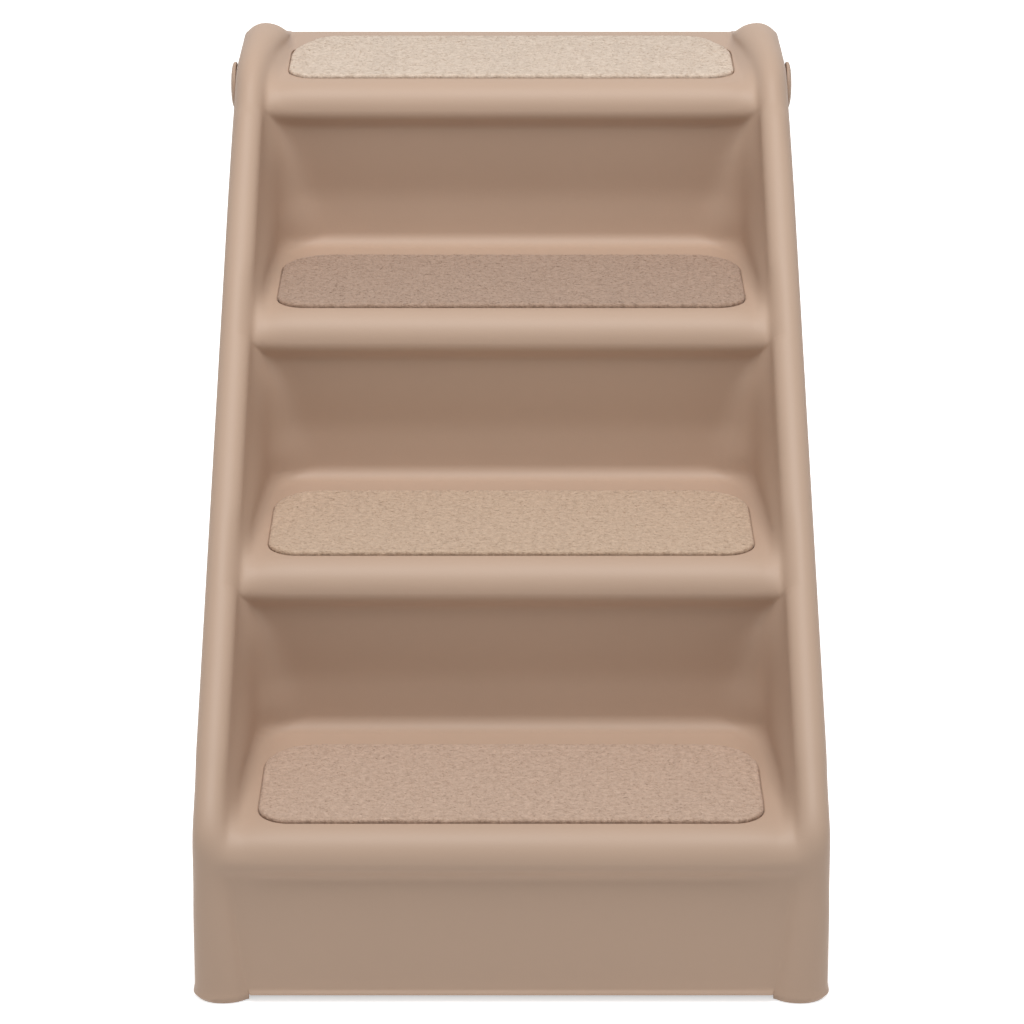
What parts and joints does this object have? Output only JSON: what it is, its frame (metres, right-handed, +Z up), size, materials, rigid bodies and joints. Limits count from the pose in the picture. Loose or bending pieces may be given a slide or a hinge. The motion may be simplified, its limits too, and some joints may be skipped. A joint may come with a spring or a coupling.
{
  "type": "folding pet stairs",
  "caption": "Moulded pet stairs with carpeted treads between side rails, held up by a rear leg that folds flat under the steps with two sliding stays.",
  "frame": {"origin": "on the floor under the middle of the part's outer box, with the stairs standing open", "axes": "+Z up, +Y the way the steps climb, from the first nosing to the heels of the rear leg, +X to the right of someone who climbs"},
  "size_m": [0.3998, 0.6202, 0.4948],
  "materials": {
    "shell_plastic": "taupe beige moulded plastic with a soft satin, finely grained skin",
    "leg_plastic": "taupe beige moulded plastic, plain and matte",
    "pin_steel": "zinc plated steel pin with a flat head",
    "clip_plastic": "dark nylon retaining ring",
    "carpet": "short needled felt pile in a mottled beige",
    "foot_rubber": "dark non-slip rubber"
  },
  "bodies": {
    "stairs": {"stair_shell": "shell_plastic", "guide_left": "leg_plastic", "guide_right": "leg_plastic", "pivot_pin_left": "shell_plastic", "pivot_pin_right": "shell_plastic", "pivot_clip_left": "clip_plastic", "pivot_clip_right": "clip_plastic", "carpet_pad_1": "carpet", "carpet_pad_2": "carpet", "carpet_pad_3": "carpet", "carpet_pad_4": "carpet", "front_foot_left": "foot_rubber", "front_foot_right": "foot_rubber"},
    "leg": {"rear_leg": "leg_plastic", "stay_pin_left": "pin_steel", "stay_pin_right": "pin_steel", "rear_foot_left": "foot_rubber", "rear_foot_right": "foot_rubber"},
    "left_stay": {"stay_left": "leg_plastic"},
    "right_stay": {"stay_right": "leg_plastic"}
  },
  "joints": [
    {"name": "leg_fold", "type": "hinge", "parent": "stairs", "child": "leg", "pos_m": [0, 0.21792, 0.452], "axis": [-1, 0, 0], "range_deg": [0, 55.1]},
    {"name": "left_stay_swing", "type": "hinge", "parent": "leg", "child": "left_stay", "pos_m": [0, 0.28105, 0.25591], "axis": [1, 0, 0], "range_deg": [0, 110.3]},
    {"name": "right_stay_swing", "type": "hinge", "parent": "leg", "child": "right_stay", "pos_m": [0, 0.28105, 0.25591], "axis": [1, 0, 0], "range_deg": [0, 110.3]}
  ],
  "couplings": [
    {"joint": "left_stay_swing", "follows": "leg_fold", "ratio": 2},
    {"joint": "right_stay_swing", "follows": "leg_fold", "ratio": 2}
  ]
}
